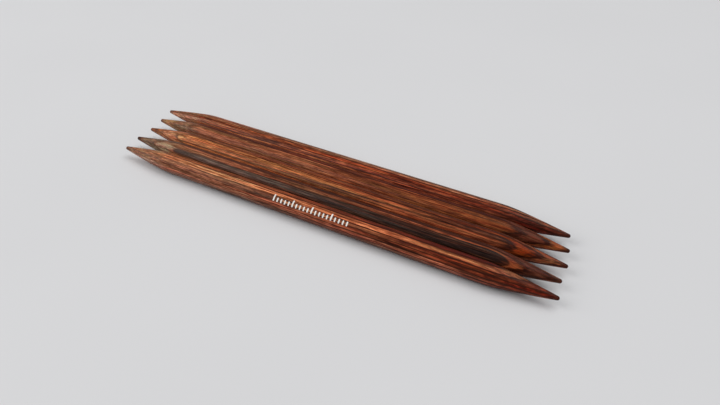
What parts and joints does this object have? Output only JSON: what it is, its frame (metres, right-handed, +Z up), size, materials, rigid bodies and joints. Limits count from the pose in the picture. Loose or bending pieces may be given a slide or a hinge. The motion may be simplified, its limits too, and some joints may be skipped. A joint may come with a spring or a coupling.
{
  "type": "double-pointed knitting needle set",
  "caption": "Straight double-pointed knitting needles of dyed laminated wood lying side by side, each a round shank with a long taper and a rounded point at both ends.",
  "frame": {"origin": "on the resting surface, under the middle of the row's box", "axes": "+X along the needles, +Y from the front needle needle_1 to the rear needle needle_5, +Z up"},
  "size_m": [0.1546, 0.0334, 0.0065],
  "materials": {
    "veneer_brown": "satin lacquer over dyed veneer",
    "veneer_orange": "satin lacquer over dyed veneer",
    "veneer_dark_red": "satin lacquer over dyed veneer",
    "veneer_charcoal": "satin lacquer over dyed veneer",
    "veneer_tan": "satin lacquer over dyed veneer",
    "veneer_rust": "satin lacquer over dyed veneer",
    "glue_resin": "satin lacquer over dark resin-soaked glue line",
    "size_mark_ink": "thin printed ink"
  },
  "bodies": {
    "needle_1": {"needle_1_veneer_1": "veneer_dark_red", "needle_1_veneer_2": "veneer_orange", "needle_1_veneer_3": "veneer_brown", "needle_1_veneer_4": "veneer_rust", "needle_1_veneer_5": "veneer_brown", "needle_1_veneer_6": "veneer_dark_red", "needle_1_veneer_7": "veneer_brown", "needle_1_glue_films": "glue_resin"},
    "needle_2": {"needle_2_veneer_1": "veneer_charcoal", "needle_2_veneer_2": "veneer_brown", "needle_2_veneer_3": "veneer_dark_red", "needle_2_veneer_4": "veneer_rust", "needle_2_veneer_5": "veneer_brown", "needle_2_veneer_6": "veneer_charcoal", "needle_2_glue_films": "glue_resin"},
    "needle_3": {"needle_3_veneer_1": "veneer_orange", "needle_3_veneer_2": "veneer_rust", "needle_3_veneer_3": "veneer_brown", "needle_3_veneer_4": "veneer_dark_red", "needle_3_veneer_5": "veneer_orange", "needle_3_veneer_6": "veneer_brown", "needle_3_veneer_7": "veneer_tan", "needle_3_glue_films": "glue_resin"},
    "needle_4": {"needle_4_veneer_1": "veneer_brown", "needle_4_veneer_2": "veneer_tan", "needle_4_veneer_3": "veneer_rust", "needle_4_veneer_4": "veneer_brown", "needle_4_veneer_5": "veneer_dark_red", "needle_4_veneer_6": "veneer_orange", "needle_4_veneer_7": "veneer_brown", "needle_4_glue_films": "glue_resin"},
    "needle_5": {"needle_5_veneer_1": "veneer_charcoal", "needle_5_veneer_2": "veneer_dark_red", "needle_5_veneer_3": "veneer_tan", "needle_5_veneer_4": "veneer_orange", "needle_5_veneer_5": "veneer_rust", "needle_5_veneer_6": "veneer_charcoal", "needle_5_glue_films": "glue_resin"}
  },
  "joints": [
    {"name": "needle_1_lift", "type": "slide", "parent": "needle_3", "child": "needle_1", "axis": [0, 0, 1], "range_m": [0, 0.05]},
    {"name": "needle_2_lift", "type": "slide", "parent": "needle_3", "child": "needle_2", "axis": [0, 0, 1], "range_m": [0, 0.05]},
    {"name": "needle_4_lift", "type": "slide", "parent": "needle_3", "child": "needle_4", "axis": [0, 0, 1], "range_m": [0, 0.05]},
    {"name": "needle_5_lift", "type": "slide", "parent": "needle_3", "child": "needle_5", "axis": [0, 0, 1], "range_m": [0, 0.05]}
  ]
}
